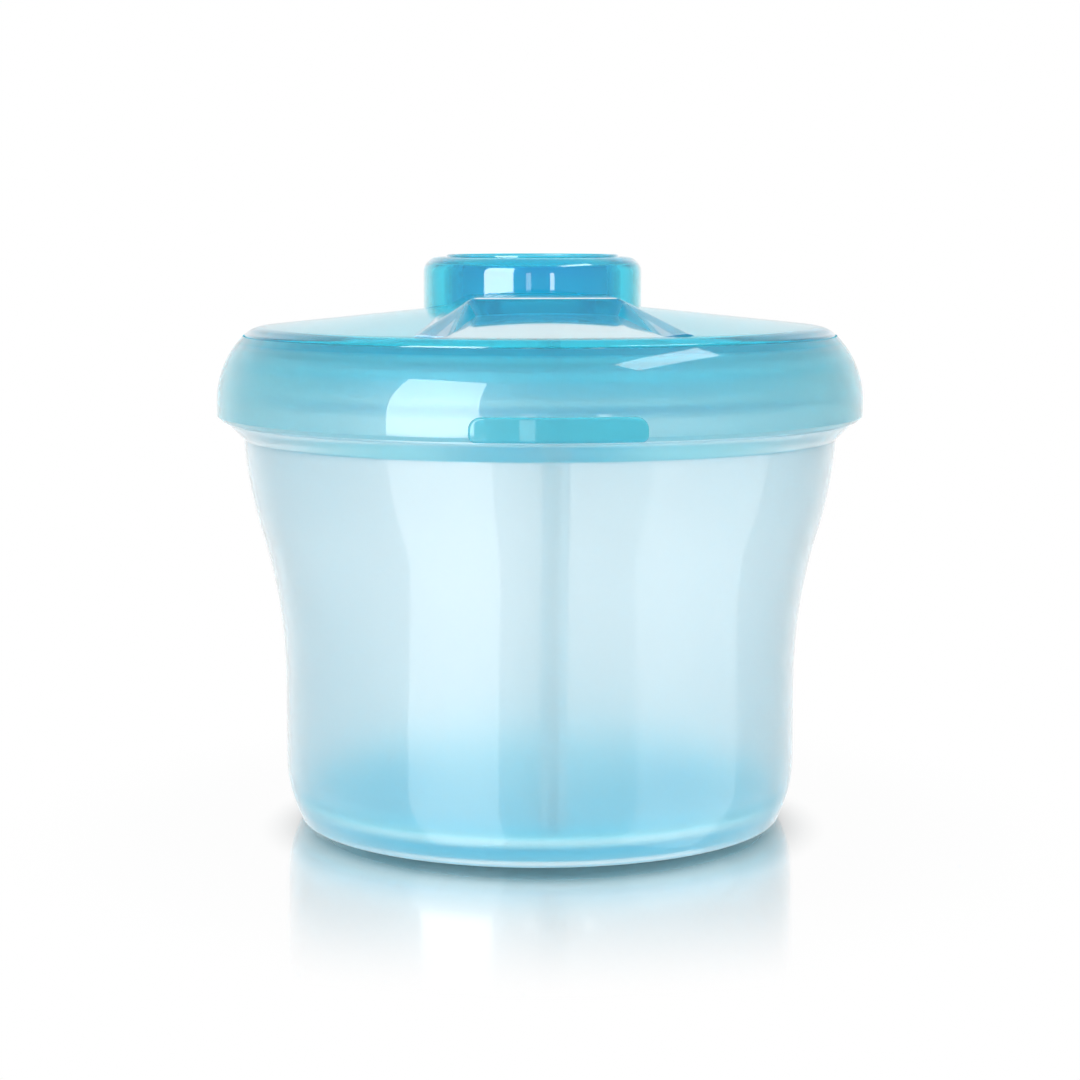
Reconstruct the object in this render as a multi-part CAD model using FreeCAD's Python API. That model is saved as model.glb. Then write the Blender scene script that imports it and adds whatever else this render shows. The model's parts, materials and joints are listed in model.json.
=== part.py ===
import FreeCAD, Part
import math
import os

# Formula dispenser: a waisted cup with a loose three-way divider, closed by a snap ring.
# A dome turns in the ring and carries a pouring spout, and a hinged cap closes the spout.
# Millimetres, +Z up. The origin is the middle of the base, and the thumb tab faces -Y.

# ---- Driving dimensions ----

# cup
waist_radius = 42.2  # outside, over the straight lower part
base_round = 20.0  # large round between the base and the straight part
base_round_height = 10.0  # height at which that round meets the wall
flare_start_z = 23.2  # where the wall starts to widen
flare_lower_radius = 86.4
flare_upper_radius = 68.6
flare_angle = 16.75  # steepest lean of the wall, degrees from vertical
cup_wall = 1.5
foot_height = 1.2  # the base is hollowed by this much inside its foot ring
foot_width = 3.0
foot_round = 0.8
floor_thickness = 1.8
inner_corner = 6.0  # round between the floor and the wall, inside
collar_z = 63.3  # where the collar leaves the wall
collar_reach = 2.7
collar_height = 3.1
collar_edge = 0.4
neck_step = 0.4  # the neck is this much inside the wall below the collar
neck_height = 9.6  # from the collar's top to the rim
neck_bead = 0.35  # snap bead round the outside of the neck
neck_bead_drop = 4.5  # below the rim
rim_round = 0.5

# divider
vane_count = 3
vane_thickness = 1.4
vane_gap = 0.6  # between a vane's edge and the cup or the dome
edge_lip_width = 4.0  # lip along a vane's outer edge, which holds the powder back
edge_lip_depth = 1.2
hub_radius = 2.6
guide_length = 9.0  # low ribs on the floor that hold each vane in place
guide_radius = 22.0
guide_height = 2.0
guide_width = 1.2
guide_gap = 0.35

# lid ring
skirt_overhang = 1.6  # beyond the collar's edge
skirt_round = 15.1  # the skirt leans in over this radius
skirt_lean_height = 8.1  # from where it starts to lean up to the groove's top
skirt_wall = 1.5
skirt_bevel = 0.7
clip_gap = 0.3
clip_bead = 0.2
clip_bead_rise = 1.0  # above the clip wall's lower edge
clip_wall = 1.2
clip_length = 6.7  # the clip wall, down from the dome's flange
groove_depth = 0.7  # groove that the dome's flange turns in
lip_reach = 1.15  # the ring's top reaches this far in over the groove
tab_half_angle = 14.1  # thumb tab, degrees each side of -Y
tab_height = 3.8
tab_proud = 1.2
tab_corner = 1.6  # rounds the tab's outline
tab_round = 0.8  # rounds its outer edge

# lid dome
turn_gap = 0.3  # beside and above the dome's flange
rim_gap = 0.3  # between the cup's rim and the dome
seam_gap = 0.3  # the line between the dome and the ring
flange_thickness = 0.9
shell = 1.6
shoulder_width = 2.8  # rounded edge of the dome
shoulder_rise = 1.15
shoulder_bulge = 0.23
cone_slope = 6.0  # degrees
crown_radius = 10.5  # flat top of the cone
plug_gap = 0.35
plug_wall = 1.4
plug_length = 4.3
pad_radius = 9.0  # thick middle of the dome, under the hinge
pad_thickness = 1.8

# spout cap
cap_radius = 18.9
cap_y = 25.0
cap_rise = 10.9  # above the dome's shoulder
cap_wall = 1.4
cap_round = 2.5
cap_gap = 0.4  # between the cap's edge and the dome
cap_seat_gap = 0.3  # between the spout's lip and the cap
cap_ring_radius = 13.5
cap_ring_width = 1.4
cap_ring_height = 0.45
cap_plug_wall = 1.2
cap_plug_depth = 1.5
grip_half_width = 5.0
grip_proud = 1.6
grip_thickness = 1.6

# spout
spout_wall = 1.3
spout_side_gap = 2.1  # between the spout and the cap's wall
spout_plug_gap = 1.3  # between the spout and the cap's plug, so that the cap can swing
spout_lip_round = 0.5

# hinge
hinge_reach = 2.7  # from the cap's wall to the hinge's axis
knuckle_radius = 1.5
pin_radius = 0.9
pin_fit = 0.05
pin_length = 2.6
arm_half_width = 6.5
arm_thickness = 1.1
arm_gap = 0.4
pocket_gap = 0.45  # round the knuckle, in the plinth's pocket
swing_gap = 0.6  # more room in front, where the arm swings over

# hinge plinth, raised on the dome in front of the spout, with two legs down to the shoulder
plinth_rise = 1.33  # above the dome's flat top
plinth_length = 20.4  # forward of the hinge's axis
plinth_cheek = 5.0  # beside the hinge's arm, round each pin
leg_inset = 4.5  # the legs' end, inside the shoulder
leg_spread = 8.9  # outward run of each leg, from the plinth to its end
leg_end_rise = 0.3
side_run = 2.0  # sideways run of the outer slopes for each mm of height
panel_inset = 0.3  # the panel's side, inside the plinth's, at its near end
panel_spread = 6.2
riser_length = 2.6  # slope from the plinth's top down to the panel
riser_run = 0.9
panel_side_run = 0.5
plinth_round = 0.7

# ---- Sizes that follow ----
flare = math.radians(flare_angle)
flare_mid_z = flare_start_z + flare_lower_radius * math.sin(flare)
flare_mid_radius = waist_radius + flare_lower_radius * (1 - math.cos(flare))
flare_top_z = flare_mid_z + flare_upper_radius * math.sin(flare)
flare_top_radius = flare_mid_radius + flare_upper_radius * (1 - math.cos(flare))
floor_z = foot_height + floor_thickness
sink = 0.3  # what is fused on is carried this far into what it stands on


def wall_radius(z, inset):
    """Radius of the cup's body at a height, this far inside its outer face."""
    if z < flare_start_z:
        return waist_radius - inset
    if z < flare_mid_z:
        reach = flare_lower_radius + inset
        return waist_radius - inset + reach - math.sqrt(reach**2 - (z - flare_start_z) ** 2)
    reach = flare_upper_radius - inset
    drop = min(z, flare_top_z) - flare_top_z
    return flare_top_radius - inset - reach + math.sqrt(reach**2 - drop**2)


collar_radius = wall_radius(collar_z, 0) + collar_reach
collar_top_z = collar_z + collar_height
neck_radius = wall_radius(collar_z, 0) - neck_step
neck_inner = neck_radius - cup_wall
rim_z = collar_top_z + neck_height
flange_z = rim_z + rim_gap  # the dome's flange rests on the ring's clip wall
clip_inner = neck_radius + neck_bead + clip_gap + clip_bead
groove_radius = clip_inner + groove_depth
flange_radius = groove_radius - turn_gap
groove_top_z = flange_z + flange_thickness + turn_gap
lip_radius = groove_radius - lip_reach
skirt_radius = collar_radius + skirt_overhang
skirt_bottom_z = collar_top_z  # the ring's skirt rests on the collar
skirt_round_z = groove_top_z - skirt_lean_height
skirt_centre = skirt_radius - skirt_round
dome_edge = lip_radius - seam_gap
shoulder_radius = dome_edge - shoulder_width
plug_outer = neck_inner - plug_gap
plug_inner = plug_outer - plug_wall
plug_bottom_z = flange_z - plug_length
slope = math.tan(math.radians(cone_slope))


def skirt_z(radius):
    """Height of the ring's outside where it leans in to this radius."""
    return skirt_round_z + math.sqrt(skirt_round**2 - (radius - skirt_centre) ** 2)


shoulder_z = skirt_z(dome_edge) + shoulder_rise


def cone_z(radius):
    """Height of the dome's outside at this radius."""
    return shoulder_z + (shoulder_radius - max(radius, crown_radius)) * slope


plinth_top_z = cone_z(0) + plinth_rise
hinge_y = cap_y - cap_radius - hinge_reach
hinge_z = plinth_top_z - knuckle_radius
plinth_back_y = hinge_y + knuckle_radius + pocket_gap
plinth_front_y = hinge_y - plinth_length
plinth_half_width = arm_half_width + plinth_cheek
leg_end_y = leg_inset - shoulder_radius
leg_end_half_width = plinth_half_width + leg_spread
leg_end_z = shoulder_z + leg_end_rise
cap_top_z = shoulder_z + cap_rise
spout_radius = cap_radius - cap_wall - spout_side_gap
spout_top_z = cap_top_z - cap_wall - cap_seat_gap
cap_plug_radius = spout_radius - spout_wall - spout_plug_gap


# ---- Helpers ----
def at(radius, z):
    return FreeCAD.Vector(radius, 0, z)


def line(a, b):
    return Part.LineSegment(a, b).toShape()


def arc(a, middle, b):
    return Part.Arc(a, middle, b).toShape()


def closed(edges):
    return Part.Face(Part.Wire(edges))


def polygon(points):
    return Part.Face(Part.makePolygon(points + points[:1]))


def turned(face):
    """Solid of revolution of a half section about the Z axis."""
    return face.revolve(FreeCAD.Vector(0, 0, 0), FreeCAD.Vector(0, 0, 1), 360)


def ring(inner, outer, low, high, centre_y=0.0):
    base = FreeCAD.Vector(0, centre_y, low)
    return Part.makeCylinder(outer, high - low, base).cut(Part.makeCylinder(inner, high - low, base))


def level_edges(shape, z):
    """Edges that lie flat at this height."""
    return [e for e in shape.Edges if abs(e.BoundBox.ZMin - z) < 0.01 and abs(e.BoundBox.ZMax - z) < 0.01]


def block(x0, x1, y0, y1, z0, z1):
    return Part.makeBox(x1 - x0, y1 - y0, z1 - z0, FreeCAD.Vector(x0, y0, z0))


def bead(radius, z, height, outward):
    """Small rounded bead on a wall, as a half section."""
    side = 1 if outward else -1
    root = radius - side * sink
    points = [at(root, z - 2 * height), at(radius, z - 2 * height), at(radius, z + 2 * height)]
    points.append(at(root, z + 2 * height))
    edges = [line(points[0], points[1])]
    edges.append(arc(points[1], at(radius + side * height, z), points[2]))
    edges += [line(points[2], points[3]), line(points[3], points[0])]
    return closed(edges)


def body_curve(inset, low_z, high_z):
    """The cup's wall line, this far inside its outer face, from low_z up to high_z."""
    def point(z):
        return at(wall_radius(z, inset), z)

    edges = [line(point(low_z), point(flare_start_z))]
    edges.append(arc(point(flare_start_z), point((flare_start_z + flare_mid_z) / 2), point(flare_mid_z)))
    arc_top = min(high_z, flare_top_z)
    edges.append(arc(point(flare_mid_z), point((flare_mid_z + arc_top) / 2), point(arc_top)))
    if high_z > arc_top:
        edges.append(line(point(arc_top), point(high_z)))
    return edges


# ---- Cup ----
def base_radius(z):
    """Outside radius within the large round of the base."""
    drop = base_round_height - z
    return waist_radius - base_round + math.sqrt(base_round**2 - drop**2)


def cup_outside():
    """Filled half section inside the cup's outer face."""
    foot = at(base_radius(foot_round), foot_round)
    edges = [line(at(0, 0), at(foot.x - foot_round, 0))]
    bend = foot_round * (1 - math.sqrt(0.5))
    edges.append(arc(at(foot.x - foot_round, 0), at(foot.x - bend, bend), foot))
    half = base_round_height / 2
    edges.append(arc(foot, at(base_radius(half), half), at(waist_radius, base_round_height)))
    edges += body_curve(0, base_round_height, collar_z)
    wall_top = at(wall_radius(collar_z, 0), collar_z)
    edges.append(line(wall_top, at(collar_radius, collar_top_z - collar_edge)))
    edges.append(line(at(collar_radius, collar_top_z - collar_edge), at(collar_radius, collar_top_z)))
    edges.append(line(at(collar_radius, collar_top_z), at(neck_radius, collar_top_z)))
    edges.append(line(at(neck_radius, collar_top_z), at(neck_radius, rim_z)))
    edges.append(line(at(neck_radius, rim_z), at(0, rim_z)))
    edges.append(line(at(0, rim_z), at(0, 0)))
    return turned(closed(edges))


def cup_inside(inset, bottom_z, corner, top_z):
    """Filled space inside the cup, drawn in from the outer face by inset."""
    lower = waist_radius - inset
    bend = corner * (1 - math.sqrt(0.5))
    edges = [line(at(0, bottom_z), at(lower - corner, bottom_z))]
    middle = at(lower - bend, bottom_z + bend)
    edges.append(arc(at(lower - corner, bottom_z), middle, at(lower, bottom_z + corner)))
    edges += body_curve(inset, bottom_z + corner, collar_z)
    neck = neck_radius - inset
    edges.append(line(at(wall_radius(collar_z, inset), collar_z), at(neck, collar_top_z)))
    edges.append(line(at(neck, collar_top_z), at(neck, top_z)))
    edges.append(line(at(neck, top_z), at(0, top_z)))
    edges.append(line(at(0, top_z), at(0, bottom_z)))
    return turned(closed(edges))


def vane_angles():
    """Directions of the vanes, degrees from +X. One points to the front, and none under the spout."""
    return [-90 + index * 360 / vane_count for index in range(vane_count)]


def spun(shape, angle):
    copy = shape.copy()
    copy.rotate(FreeCAD.Vector(0, 0, 0), FreeCAD.Vector(0, 0, 1), angle)
    return copy


def make_cup():
    cup = cup_outside().cut(cup_inside(cup_wall, floor_z, inner_corner, rim_z + 1))
    cup = cup.cut(Part.makeCylinder(base_radius(0) - foot_width, foot_height))
    cup = cup.fuse(turned(bead(neck_radius, rim_z - neck_bead_drop, neck_bead, True)))
    side = vane_thickness / 2 + guide_gap
    for angle in vane_angles():
        for low in (side, -side - guide_width):
            rib = block(guide_radius, guide_radius + guide_length, low, low + guide_width,
                        floor_z - sink, floor_z + guide_height)
            cup = cup.fuse(spun(rib, angle))
    cup = cup.removeSplitter()
    return cup.makeFillet(rim_round, level_edges(cup, rim_z))


# ---- Divider ----
def vane_top_z(radius):
    """Height of a vane's top edge, just under the dome."""
    return cone_z(radius) - shell - vane_gap


def divider_space():
    """Room for the divider, clear of the cup, the dome, its plug and its centre pad."""
    plug_clear = plug_inner - vane_gap
    step_z = plug_bottom_z - vane_gap
    pad_clear = pad_radius + vane_gap
    pad_z = cone_z(0) - shell - pad_thickness - vane_gap
    crown_z = vane_top_z(crown_radius)
    top = [at(0, 0), at(neck_radius, 0), at(neck_radius, step_z), at(plug_clear, step_z)]
    top += [at(plug_clear, vane_top_z(plug_clear)), at(crown_radius, crown_z)]
    top += [at(pad_clear, crown_z), at(pad_clear, pad_z), at(0, pad_z)]
    below = cup_inside(cup_wall + vane_gap, floor_z, inner_corner, cone_z(0))
    mouth = Part.makeCylinder(neck_inner - vane_gap, cone_z(0))
    return turned(polygon(top)).common(below).common(mouth)


def make_divider():
    space = divider_space()
    high = cone_z(0)
    solid = Part.makeCylinder(hub_radius, high)
    half = vane_thickness / 2
    for angle in vane_angles():
        solid = solid.fuse(spun(block(0, neck_radius, -half, half, 0, high), angle))
    solid = solid.common(space)
    lips = space.cut(cup_inside(cup_wall + vane_gap + edge_lip_depth, 0, inner_corner, high))
    lips = lips.cut(Part.makeCylinder(neck_radius, high, FreeCAD.Vector(0, 0, plug_bottom_z - vane_gap)))
    lips = lips.cut(Part.makeCylinder(neck_radius, floor_z + inner_corner))
    half = edge_lip_width / 2
    for angle in vane_angles():
        lip = spun(block(0, neck_radius, -half, half, 0, high), angle)
        solid = solid.fuse(lips.common(lip))
    return solid.removeSplitter()


# ---- Lid ring ----
def ring_section():
    inner_round = skirt_round - skirt_wall
    clip_outer = clip_inner + clip_wall
    join_z = skirt_round_z + math.sqrt(inner_round**2 - (clip_outer - skirt_centre) ** 2)
    skirt_inner = skirt_radius - skirt_wall
    top_z = skirt_z(lip_radius)

    def on_round(radius, z0, z1):
        z = (z0 + z1) / 2
        return at(skirt_centre + math.sqrt(radius**2 - (z - skirt_round_z) ** 2), z)

    points = [at(skirt_inner, skirt_bottom_z), at(skirt_radius - skirt_bevel, skirt_bottom_z)]
    points.append(at(skirt_radius, skirt_bottom_z + skirt_bevel))
    points.append(at(skirt_radius, skirt_round_z))
    edges = [line(a, b) for a, b in zip(points, points[1:])]
    edges.append(arc(points[-1], on_round(skirt_round, skirt_round_z, top_z), at(lip_radius, top_z)))
    points = [at(lip_radius, top_z), at(lip_radius, groove_top_z), at(groove_radius, groove_top_z)]
    clip_bottom_z = flange_z - clip_length
    points += [at(groove_radius, flange_z), at(clip_inner, flange_z), at(clip_inner, clip_bottom_z)]
    points += [at(clip_outer, clip_bottom_z), at(clip_outer, join_z)]
    edges += [line(a, b) for a, b in zip(points, points[1:])]
    inner_middle = on_round(inner_round, skirt_round_z, join_z)
    edges.append(arc(points[-1], inner_middle, at(skirt_inner, skirt_round_z)))
    edges.append(line(at(skirt_inner, skirt_round_z), at(skirt_inner, skirt_bottom_z)))
    return closed(edges)


def thumb_tab():
    """Rounded grip on the skirt's lower edge, at the front."""
    inner = skirt_radius - skirt_wall / 2
    outer = skirt_radius + tab_proud
    top_z = skirt_bottom_z + tab_height
    section = [at(inner, skirt_bottom_z), at(outer, skirt_bottom_z), at(outer, top_z), at(inner, top_z)]
    tab = polygon(section).revolve(FreeCAD.Vector(0, 0, 0), FreeCAD.Vector(0, 0, 1), 2 * tab_half_angle)
    tab = spun(tab, -90 - tab_half_angle)
    depth = outer - inner
    corners = [e for e in tab.Edges if e.BoundBox.ZLength < 0.01 and e.Length < 1.1 * depth]
    tab = tab.makeFillet(tab_corner, corners)
    front = [e for e in tab.Edges if min(math.hypot(v.X, v.Y) for v in e.Vertexes) > outer - 0.01]
    return tab.makeFillet(tab_round, front)


def make_lid_ring():
    solid = turned(ring_section())
    solid = solid.fuse(turned(bead(clip_inner, flange_z - clip_length + clip_bead_rise, clip_bead, False)))
    return solid.fuse(thumb_tab()).removeSplitter()


# ---- Lid dome ----
def dome_section():
    edge_z = skirt_z(dome_edge)
    under = shell
    flange_top = flange_z + flange_thickness
    shoulder = at(shoulder_radius, shoulder_z)
    edge = at(dome_edge, edge_z)
    across = edge.sub(shoulder)
    outward = FreeCAD.Vector(-across.z, 0, across.x).normalize()
    middle = shoulder.add(edge).multiply(0.5).add(outward.multiply(shoulder_bulge))
    edges = [line(at(0, cone_z(0)), at(crown_radius, cone_z(0)))]
    edges.append(line(at(crown_radius, cone_z(0)), shoulder))
    edges.append(arc(shoulder, middle, edge))
    points = [edge, at(dome_edge, flange_top), at(flange_radius, flange_top), at(flange_radius, flange_z)]
    points += [at(plug_outer, flange_z), at(plug_outer, plug_bottom_z), at(plug_inner, plug_bottom_z)]
    points += [at(plug_inner, cone_z(plug_inner) - under), at(crown_radius, cone_z(0) - under)]
    points += [at(0, cone_z(0) - under), at(0, cone_z(0))]
    edges += [line(a, b) for a, b in zip(points, points[1:])]
    return closed(edges)


def below_dome(lift):
    """Everything below the dome's outside, raised by lift."""
    wide = 2 * dome_edge
    points = [at(0, 0), at(wide, 0), at(wide, cone_z(wide) + lift), at(crown_radius, cone_z(0) + lift)]
    points.append(at(0, cone_z(0) + lift))
    return turned(polygon(points))


def loft_between(lower, upper):
    wires = [Part.makePolygon(points + points[:1]) for points in (lower, upper)]
    return Part.makeLoft(wires, True, True)


def plinth_section(y, half_width, top_z):
    """Trapezoid across the plinth, its slopes carried down below the dome's surface."""
    low_z = shoulder_z - shell
    foot = half_width + side_run * (top_z - low_z)
    corners = [(-foot, low_z), (foot, low_z), (half_width, top_z), (-half_width, top_z)]
    return [FreeCAD.Vector(x, y, z) for x, z in corners]


def plinth_panel():
    """Cutter for the lower panel between the plinth's two legs."""
    start_y = plinth_front_y - riser_length
    spread = panel_spread / (start_y - leg_end_y)
    end_y = -2 * shoulder_radius
    levels = []
    for z in (shoulder_z - shell, plinth_top_z + shell):
        lift = z - cone_z(-start_y)
        near_y = start_y + riser_run * lift
        half = plinth_half_width - panel_inset + panel_side_run * lift
        wide = half + spread * (near_y - end_y)
        corners = [(-half, near_y), (half, near_y), (wide, end_y), (-wide, end_y)]
        levels.append([FreeCAD.Vector(x, y, z) for x, y in corners])
    return loft_between(*levels)


def is_ridge(edge, far_y):
    """True for a plinth edge that stands clear of the dome and isn't on its back or far end."""
    middle = edge.CenterOfMass
    above = middle.z > cone_z(math.hypot(middle.x, middle.y)) + 0.3
    return above and far_y + 0.1 < middle.y < plinth_back_y - 0.1


def make_plinth():
    back = plinth_section(plinth_back_y, plinth_half_width, plinth_top_z)
    front = plinth_section(plinth_front_y, plinth_half_width, plinth_top_z)
    reach = leg_end_y / 4
    slope_in = (leg_end_z - plinth_top_z) / (leg_end_y - plinth_front_y)
    spread = (leg_end_half_width - plinth_half_width) / (leg_end_y - plinth_front_y)
    far = plinth_section(leg_end_y + reach, leg_end_half_width + spread * reach, leg_end_z + slope_in * reach)
    plinth = loft_between(back, front).fuse(loft_between(front, far)).removeSplitter()
    plinth = plinth.cut(plinth_panel())
    ridges = [e for e in plinth.Edges if is_ridge(e, far[0].y)]
    return plinth.makeFillet(plinth_round, ridges)


def make_lid_dome():
    dome = turned(dome_section())
    within = Part.makeCylinder(shoulder_radius, plinth_top_z)
    dome = dome.fuse(make_plinth().common(within).cut(below_dome(-shell / 2)))
    pad_z = cone_z(0) - shell - pad_thickness
    dome = dome.fuse(Part.makeCylinder(pad_radius, pad_thickness + shell / 2, FreeCAD.Vector(0, 0, pad_z)))
    base = FreeCAD.Vector(0, cap_y, flange_z)
    spout = Part.makeCylinder(spout_radius, spout_top_z - flange_z, base).cut(below_dome(-shell / 2))
    dome = dome.fuse(spout).cut(Part.makeCylinder(spout_radius - spout_wall, spout_top_z, base))
    dome = dome.makeFillet(spout_lip_round, level_edges(dome, spout_top_z))
    pocket = knuckle_radius + pocket_gap
    side = arm_half_width + pocket_gap
    dome = dome.cut(block(-side, side, hinge_y - pocket - swing_gap, hinge_y + pocket, hinge_z - pocket,
                          plinth_top_z + 1))
    reach = arm_half_width + pin_length + pocket_gap
    bores = Part.makeCylinder(pin_radius + pin_fit, 2 * reach, FreeCAD.Vector(-reach, hinge_y, hinge_z),
                              FreeCAD.Vector(1, 0, 0))
    dome = dome.cut(bores)
    return dome.removeSplitter()


# ---- Spout cap ----
def make_spout_cap():
    base = FreeCAD.Vector(0, cap_y, flange_z)
    cap = Part.makeCylinder(cap_radius, cap_top_z - flange_z, base)
    cap = cap.makeFillet(cap_round, level_edges(cap, cap_top_z))
    ceiling = cap_top_z - cap_wall
    cap = cap.cut(Part.makeCylinder(cap_radius - cap_wall, ceiling - flange_z, base))
    outer = cap_ring_radius + cap_ring_width
    cap = cap.fuse(ring(cap_ring_radius, outer, cap_top_z - sink, cap_top_z + cap_ring_height, cap_y))
    plug_inner_radius = cap_plug_radius - cap_plug_wall
    plug_z = spout_top_z - cap_plug_depth
    cap = cap.fuse(ring(plug_inner_radius, cap_plug_radius, plug_z, ceiling + sink, cap_y))
    cap = cap.cut(below_dome(cap_gap))
    grip_y = cap_y + cap_radius
    grip = block(-grip_half_width, grip_half_width, grip_y - cap_wall, grip_y + grip_proud,
                 cap_top_z - cap_round - grip_thickness, cap_top_z - cap_round)
    cap = cap.fuse(grip)
    arm = block(-arm_half_width, arm_half_width, hinge_y, cap_y - cap_radius + cap_wall,
                cone_z(0) + arm_gap, cone_z(0) + arm_gap + arm_thickness)
    knuckle = Part.makeCylinder(knuckle_radius, 2 * arm_half_width,
                                FreeCAD.Vector(-arm_half_width, hinge_y, hinge_z), FreeCAD.Vector(1, 0, 0))
    reach = arm_half_width + pin_length
    pins = Part.makeCylinder(pin_radius, 2 * reach, FreeCAD.Vector(-reach, hinge_y, hinge_z),
                             FreeCAD.Vector(1, 0, 0))
    return cap.fuse(arm).fuse(knuckle).fuse(pins).removeSplitter()


def save(name, shape):
    solids = [s for s in shape.Solids]
    box = shape.BoundBox
    print(name, len(solids), shape.isValid(), round(shape.Volume / 1000, 2), "cm3",
          [round(v, 2) for v in (box.XMin, box.XMax, box.YMin, box.YMax, box.ZMin, box.ZMax)])
    shape.exportStep("parts/" + name + ".step")


os.makedirs("parts", exist_ok=True)
save("cup", make_cup())
save("divider", make_divider())
save("lid_ring", make_lid_ring())
save("lid_dome", make_lid_dome())
save("spout_cap", make_spout_cap())
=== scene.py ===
import json
import math

import bpy
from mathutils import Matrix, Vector


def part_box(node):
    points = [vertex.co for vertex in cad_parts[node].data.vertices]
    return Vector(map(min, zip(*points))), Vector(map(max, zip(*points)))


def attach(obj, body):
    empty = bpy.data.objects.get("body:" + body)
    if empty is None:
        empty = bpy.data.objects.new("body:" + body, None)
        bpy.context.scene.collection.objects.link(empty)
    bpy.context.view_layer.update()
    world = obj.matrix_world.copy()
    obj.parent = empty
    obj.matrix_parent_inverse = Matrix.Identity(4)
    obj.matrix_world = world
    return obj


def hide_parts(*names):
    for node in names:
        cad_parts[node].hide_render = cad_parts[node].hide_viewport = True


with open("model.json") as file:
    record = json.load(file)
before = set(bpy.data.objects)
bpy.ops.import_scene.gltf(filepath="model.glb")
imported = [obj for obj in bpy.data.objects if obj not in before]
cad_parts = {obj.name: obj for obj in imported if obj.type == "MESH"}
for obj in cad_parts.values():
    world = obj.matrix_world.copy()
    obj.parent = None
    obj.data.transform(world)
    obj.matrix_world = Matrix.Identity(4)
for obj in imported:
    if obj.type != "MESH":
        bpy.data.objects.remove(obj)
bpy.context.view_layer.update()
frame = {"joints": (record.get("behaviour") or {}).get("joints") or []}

# ---- Cup ----
# The waisted cup holds the powder. It is pale blue translucent polypropylene, moulded in one
# shot, polished outside and finely textured inside, so it looks frosted. Its collar carries the
# lid, its neck takes the snap, and three pairs of ribs on its floor hold the divider's vanes.
mm = 0.001
sides = 192  # facets round every turned piece
edge_round = 0.25 * mm  # broken edge left by the mould
tolerance = 0.01 * mm  # places closer than this are the same

cup_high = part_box("cup")[1]
rim_z = cup_high.z
collar_radius = cup_high.x
waist_radius = 42.2 * mm
base_round = 20.0 * mm
base_round_height = 10.0 * mm
flare_start_z = 23.2 * mm
flare_lower_radius = 86.4 * mm
flare_upper_radius = 68.6 * mm
flare = math.radians(16.75)
cup_wall = 1.5 * mm
foot_height = 1.2 * mm
foot_width = 3.0 * mm
foot_round = 0.8 * mm
floor_z = 3.0 * mm
inner_corner = 6.0 * mm
collar_z = 63.3 * mm
collar_edge = 0.4 * mm
neck_height = 9.6 * mm
neck_step = 0.4 * mm
neck_bead = 0.35 * mm
neck_bead_drop = 4.5 * mm

flare_mid_z = flare_start_z + flare_lower_radius * math.sin(flare)
flare_mid_radius = waist_radius + flare_lower_radius * (1 - math.cos(flare))
flare_top_z = flare_mid_z + flare_upper_radius * math.sin(flare)
flare_top_radius = flare_mid_radius + flare_upper_radius * (1 - math.cos(flare))


def wall_radius(z, inset=0.0):
    """Radius of the cup's body at a height, this far inside its outer face."""
    if z < flare_start_z:
        return waist_radius - inset
    if z < flare_mid_z:
        reach = flare_lower_radius + inset
        return waist_radius - inset + reach - math.sqrt(reach**2 - (z - flare_start_z) ** 2)
    reach = flare_upper_radius - inset
    drop = min(z, flare_top_z) - flare_top_z
    return flare_top_radius - inset - reach + math.sqrt(reach**2 - drop**2)


def steps(start, end, count):
    """Even steps from start to end, with both ends."""
    return [start + (end - start) * index / count for index in range(count + 1)]


def round_corner(centre_radius, centre_z, radius, start, end, count=8):
    """Points on an arc of an outline. Angles are degrees from straight outwards."""
    turns = [math.radians(angle) for angle in steps(start, end, count)]
    return [(centre_radius + radius * math.cos(t), centre_z + radius * math.sin(t)) for t in turns]


def bead(radius, z, height, count=6):
    """Points over a small rounded bead on a wall, from its foot to its top."""
    return [(radius + height * math.sin(math.pi * share), z + 4 * height * (share - 0.5))
            for share in steps(0.0, 1.0, count)]


def only(piece):
    """Selects one piece and nothing else."""
    bpy.ops.object.select_all(action="DESELECT")
    piece.select_set(True)
    bpy.context.view_layer.objects.active = piece


def turned(name, outline, centre_y=0.0, facets=sides):
    """Draws half of a round piece as a line and spins it into a closed skin."""
    bpy.ops.object.select_all(action="DESELECT")
    bpy.ops.mesh.primitive_plane_add(size=mm, location=(outline[0][0], centre_y, outline[0][1]))
    piece = bpy.context.object
    piece.name = piece.data.name = name
    bpy.ops.object.transform_apply(location=True, rotation=True, scale=True)
    bpy.ops.object.mode_set(mode="EDIT")
    bpy.ops.mesh.select_mode(type="VERT")
    bpy.ops.mesh.select_all(action="SELECT")
    bpy.ops.mesh.merge(type="CENTER")
    for here, there in zip(outline, outline[1:]):
        step = (there[0] - here[0], 0, there[1] - here[1])
        bpy.ops.mesh.extrude_region_move(TRANSFORM_OT_translate={"value": step})
    bpy.ops.mesh.select_all(action="SELECT")
    bpy.ops.mesh.spin(steps=facets, angle=2 * math.pi, center=(0, centre_y, 0), axis=(0, 0, 1))
    bpy.ops.mesh.select_all(action="SELECT")
    bpy.ops.mesh.remove_doubles(threshold=0.002 * mm)
    bpy.ops.mesh.normals_make_consistent(inside=False)
    bpy.ops.mesh.select_mode(type="FACE")
    bpy.ops.mesh.select_all(action="DESELECT")
    bpy.ops.object.mode_set(mode="OBJECT")
    for face in piece.data.polygons:
        at_middle = any(math.dist(piece.data.vertices[index].co.xy, (0, centre_y)) < tolerance
                        for index in face.vertices)
        face.select = at_middle and abs(face.normal.z) > 0.999
    bpy.ops.object.mode_set(mode="EDIT")
    bpy.ops.mesh.dissolve_faces()
    bpy.ops.object.mode_set(mode="OBJECT")
    return piece


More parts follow.
